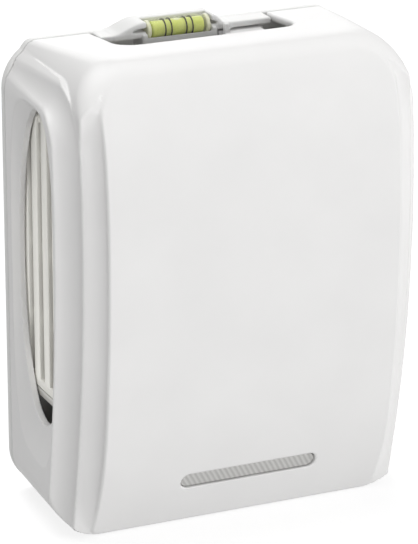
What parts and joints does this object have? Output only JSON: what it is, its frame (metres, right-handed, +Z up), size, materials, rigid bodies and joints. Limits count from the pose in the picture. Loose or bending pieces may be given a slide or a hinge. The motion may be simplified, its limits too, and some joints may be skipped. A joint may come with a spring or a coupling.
{
  "type": "oxygen cell dispenser",
  "caption": "Palm-size wall dispenser run by an oxygen cell: bowed hinged cover with side vents and a front slot, back plate with level vial, lift-off cartridge",
  "frame": {"origin": "middle of the outer box, at its base", "axes": "+Z up, -Y the front, +Y the wall, +X to the right seen from the front"},
  "size_m": [0.111, 0.0576, 0.14],
  "materials": {
    "case": "smooth gloss white moulded plastic",
    "cage": "satin ivory moulded plastic",
    "window": "frosted pale grey translucent plastic",
    "vial": "clear polished acrylic tube",
    "vial_fluid": "lime-yellow level liquid",
    "metal": "plated steel",
    "felt": "pleated felt wick",
    "film": "thin translucent film",
    "seal": "soft black rubber",
    "circuit": "green circuit board",
    "dark_plastic": "dark grey moulded plastic"
  },
  "bodies": {
    "housing": {"back_plate": "case", "hinge_pin_left": "metal", "hinge_pin_right": "metal", "vial_tube": "vial", "vial_liquid": "vial_fluid", "vial_cap_left": "cage", "vial_cap_right": "cage", "latch_spring": "metal"},
    "cover": {"front_cover": "case", "slot_window": "window", "window_retainer": "case"},
    "latch": {"release_latch": "case"},
    "cartridge": {"cage_right": "cage", "cage_left": "cage", "cage_top": "cage", "cartridge_spine": "cage", "cartridge_shelf": "cage", "cartridge_tray": "cage", "reservoir_shell": "cage", "reservoir_lid": "cage", "fluid_bag": "film", "bag_spout": "cage", "feed_tube_left": "film", "feed_tube_right": "film", "wick_right": "felt", "wick_left": "felt", "oxygen_cell": "metal", "cell_membrane": "film", "gas_nipple": "dark_plastic", "cell_seal": "seal", "battery": "dark_plastic", "contact_plate": "metal", "contact_spring": "metal", "control_board": "circuit", "board_screw_left": "metal", "board_screw_right": "metal", "switch_body": "dark_plastic", "status_lamp": "window"},
    "selector": {"rate_slider": "dark_plastic"}
  },
  "joints": [
    {"name": "cover_hinge", "type": "hinge", "parent": "housing", "child": "cover", "pos_m": [0, 0.02225, 0.0035], "axis": [1, 0, 0], "range_deg": [0, 80]},
    {"name": "latch_press", "type": "slide", "parent": "housing", "child": "latch", "axis": [0, 0, -1], "range_m": [0, 0.0025], "stiffness_N_per_m": 300, "springref_m": -0.001, "deforming": ["latch_spring"]},
    {"name": "cartridge_lift", "type": "slide", "parent": "housing", "child": "cartridge", "axis": [0, 0, 1], "range_m": [0, 0.0025]},
    {"name": "rate_slide", "type": "slide", "parent": "cartridge", "child": "selector", "axis": [1, 0, 0], "range_m": [0, 0.005]}
  ]
}
